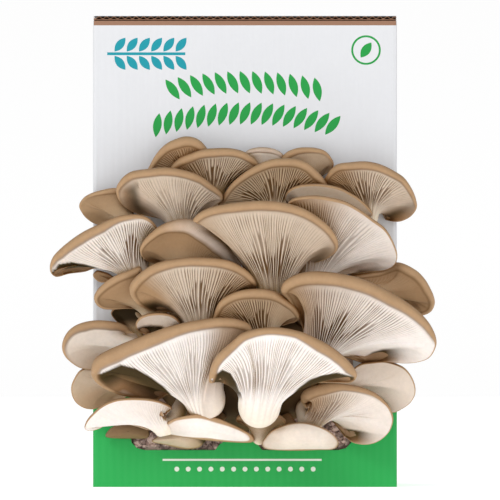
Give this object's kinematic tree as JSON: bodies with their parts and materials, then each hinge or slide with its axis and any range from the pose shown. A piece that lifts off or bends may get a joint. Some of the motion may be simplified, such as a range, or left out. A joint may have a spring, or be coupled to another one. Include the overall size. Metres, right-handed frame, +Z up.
{
  "type": "oyster mushroom grow kit",
  "caption": "Small upright carton of growing substrate, with a cluster of oyster mushrooms growing out of the window in its front, and a lid flap that folds open.",
  "frame": {"origin": "centre of the carton's underside", "axes": "+X to the right as the kit is looked at, -Y out of the carton's front, +Z up"},
  "size_m": [0.1351, 0.121, 0.166],
  "materials": {
    "carton_board": "matt white coated corrugated board with a green band at the bottom",
    "flap_board": "matt white coated corrugated board with raw brown edges",
    "substrate": "damp crumbly sawdust block grown through with white mycelium",
    "mushroom_flesh": "soft matt mushroom flesh, cream gills and a tan rim"
  },
  "bodies": {
    "kit": {"carton": "carton_board", "substrate_block": "substrate", "cluster_base": "mushroom_flesh", "mushroom_front_centre": "mushroom_flesh", "mushroom_front_left": "mushroom_flesh", "mushroom_front_right": "mushroom_flesh", "mushroom_centre_small": "mushroom_flesh", "mushroom_middle_centre": "mushroom_flesh", "mushroom_middle_left": "mushroom_flesh", "mushroom_middle_right": "mushroom_flesh", "mushroom_centre_left": "mushroom_flesh", "mushroom_left_wing": "mushroom_flesh", "mushroom_upper_left": "mushroom_flesh", "mushroom_upper_centre": "mushroom_flesh", "mushroom_upper_right": "mushroom_flesh", "mushroom_upper_right_pale": "mushroom_flesh", "mushroom_top_centre_left": "mushroom_flesh", "mushroom_top_left": "mushroom_flesh", "mushroom_top_bud": "mushroom_flesh", "mushroom_top_right": "mushroom_flesh", "mushroom_far_left": "mushroom_flesh", "mushroom_right_wing": "mushroom_flesh", "mushroom_low_right": "mushroom_flesh", "mushroom_bottom_right": "mushroom_flesh", "mushroom_bottom_centre_right": "mushroom_flesh", "mushroom_bottom_centre": "mushroom_flesh", "mushroom_bottom_centre_left": "mushroom_flesh", "mushroom_bottom_bud": "mushroom_flesh", "mushroom_bottom_left": "mushroom_flesh", "mushroom_bottom_left_young": "mushroom_flesh", "mushroom_low_left": "mushroom_flesh", "mushroom_left_pale": "mushroom_flesh", "mushroom_left_young": "mushroom_flesh", "mushroom_left_shaded": "mushroom_flesh", "mushroom_left_brown": "mushroom_flesh", "mushroom_left_tip_young": "mushroom_flesh"},
    "flap": {"lid_flap": "flap_board"}
  },
  "joints": [
    {"name": "lid_flap_hinge", "type": "hinge", "parent": "kit", "child": "flap", "pos_m": [0, 0.03805, 0.16425], "axis": [-1, 0, 0], "range_deg": [0, 180]}
  ]
}
